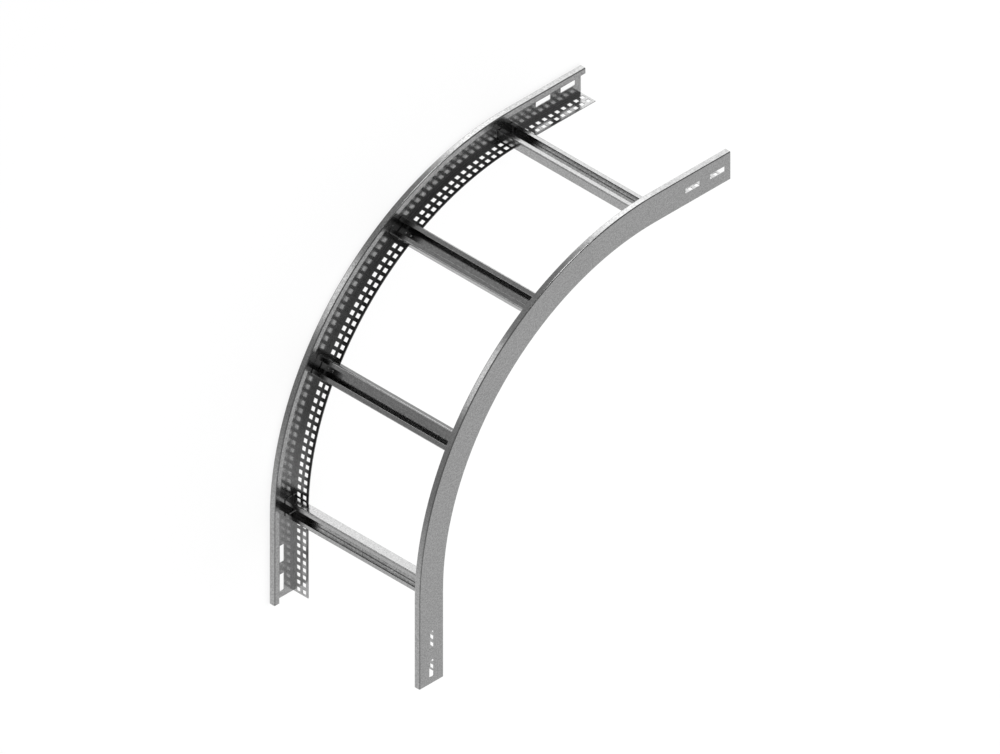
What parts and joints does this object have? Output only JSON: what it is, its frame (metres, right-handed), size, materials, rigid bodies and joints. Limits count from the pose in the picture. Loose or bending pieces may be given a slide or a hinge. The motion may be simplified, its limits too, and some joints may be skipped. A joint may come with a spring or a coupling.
{
  "type": "cable ladder vertical bend",
  "caption": "Quarter-turn vertical bend of galvanised cable ladder: folded side rails with a perforated inner flange and a return lip, joined by open C-section rungs.",
  "frame": {"origin": "on the floor under the middle of the bounding box, with the bend lying on the outer face of one side rail", "axes": "+Z along the rungs, from the rail it lies on to the other rail; the tail end points towards -Y and the head end towards +X"},
  "size_m": [0.828, 0.828, 0.4],
  "materials": {
    "rail_steel": "galvanised, fine spangle, satin",
    "rung_steel": "galvanised, fine spangle, satin"
  },
  "bodies": {
    "root": {"side_rail_lower": "rail_steel", "side_rail_upper": "rail_steel", "rung_1": "rung_steel", "rung_2": "rung_steel", "rung_3": "rung_steel", "rung_4": "rung_steel"}
  },
  "joints": []
}
